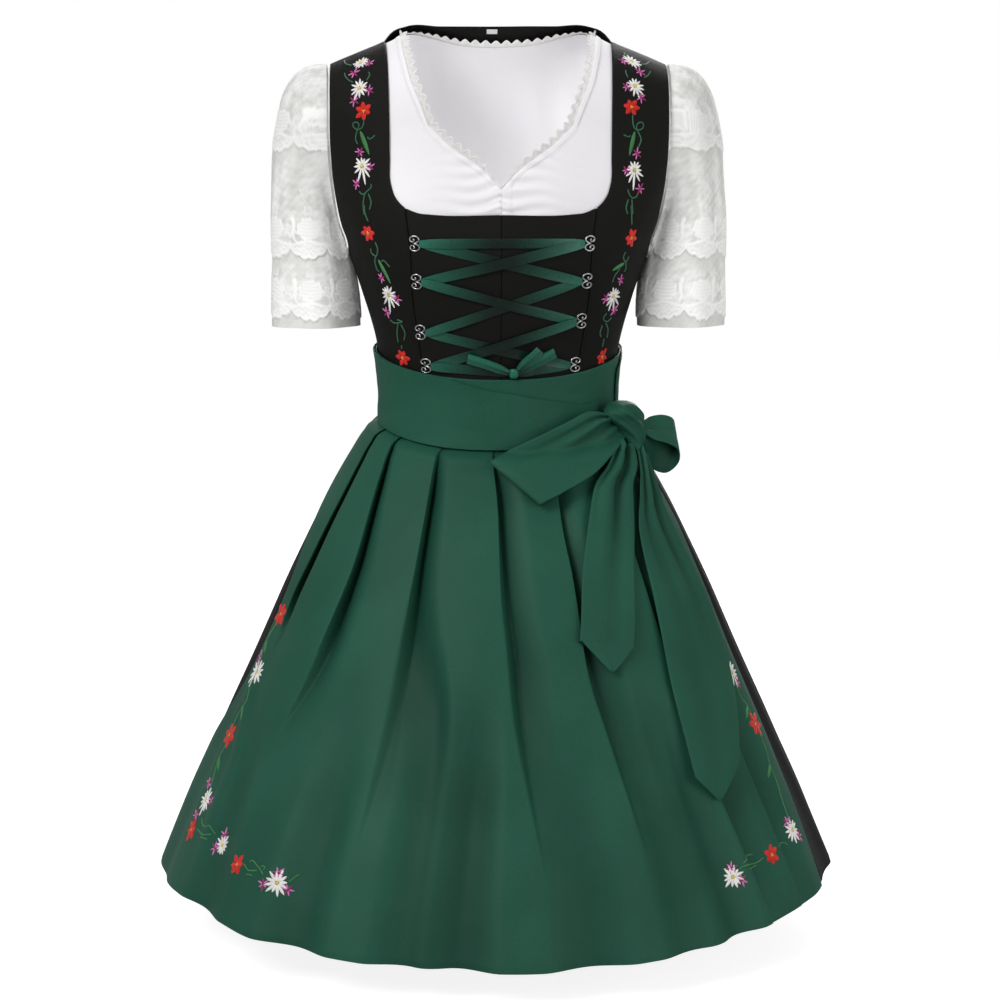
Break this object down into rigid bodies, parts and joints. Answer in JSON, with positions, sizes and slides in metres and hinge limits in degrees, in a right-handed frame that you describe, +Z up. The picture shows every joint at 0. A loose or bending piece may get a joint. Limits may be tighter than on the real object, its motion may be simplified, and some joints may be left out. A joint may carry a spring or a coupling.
{
  "type": "dirndl dress with blouse and apron",
  "caption": "Traditional European folk dress set: cropped blouse with lace sleeves, laced bodice with a pleated knee-length skirt, and a pleated apron tied with a big bow at one side.",
  "frame": {"origin": "midway between the wearer's shoulders, at their height, where the shoulders hold the straps up", "axes": "+Z up along the body, -Y the front, +X the side with the apron's bow"},
  "size_m": [0.7096, 0.6424, 0.908],
  "materials": {
    "white_cotton": "matte",
    "white_lace": "matte",
    "black_twill": "matte",
    "green_satin": "satin",
    "green_ribbon": "satin",
    "silver": "satin",
    "white_label": "matte"
  },
  "bodies": {
    "root": {"apron_bow_knot": "green_satin", "apron_bow_loop_left": "green_satin", "apron_bow_loop_right": "green_satin", "apron_bow_tail_long": "green_satin", "apron_bow_tail_short": "green_satin", "apron_skirt": "green_satin", "apron_tie_left": "green_satin", "apron_tie_right": "green_satin", "apron_waistband": "green_satin", "blouse_back": "white_cotton", "blouse_front_left": "white_cotton", "blouse_front_right": "white_cotton", "blouse_neck_lace": "white_lace", "blouse_sleeve_left": "white_lace", "blouse_sleeve_right": "white_lace", "bodice_back": "black_twill", "bodice_centre_front_left": "black_twill", "bodice_centre_front_right": "black_twill", "bodice_side_front_left": "black_twill", "bodice_side_front_right": "black_twill", "lace_hook_left_1": "silver", "lace_hook_left_2": "silver", "lace_hook_left_3": "silver", "lace_hook_left_4": "silver", "lace_hook_right_1": "silver", "lace_hook_right_2": "silver", "lace_hook_right_3": "silver", "lace_hook_right_4": "silver", "lacing_bow_loop_left": "green_ribbon", "lacing_bow_loop_right": "green_ribbon", "lacing_end": "green_ribbon", "lacing_knot": "green_ribbon", "lacing_ribbon": "green_ribbon", "neck_label": "white_label", "skirt_back": "black_twill", "skirt_front": "black_twill"}
  },
  "joints": []
}
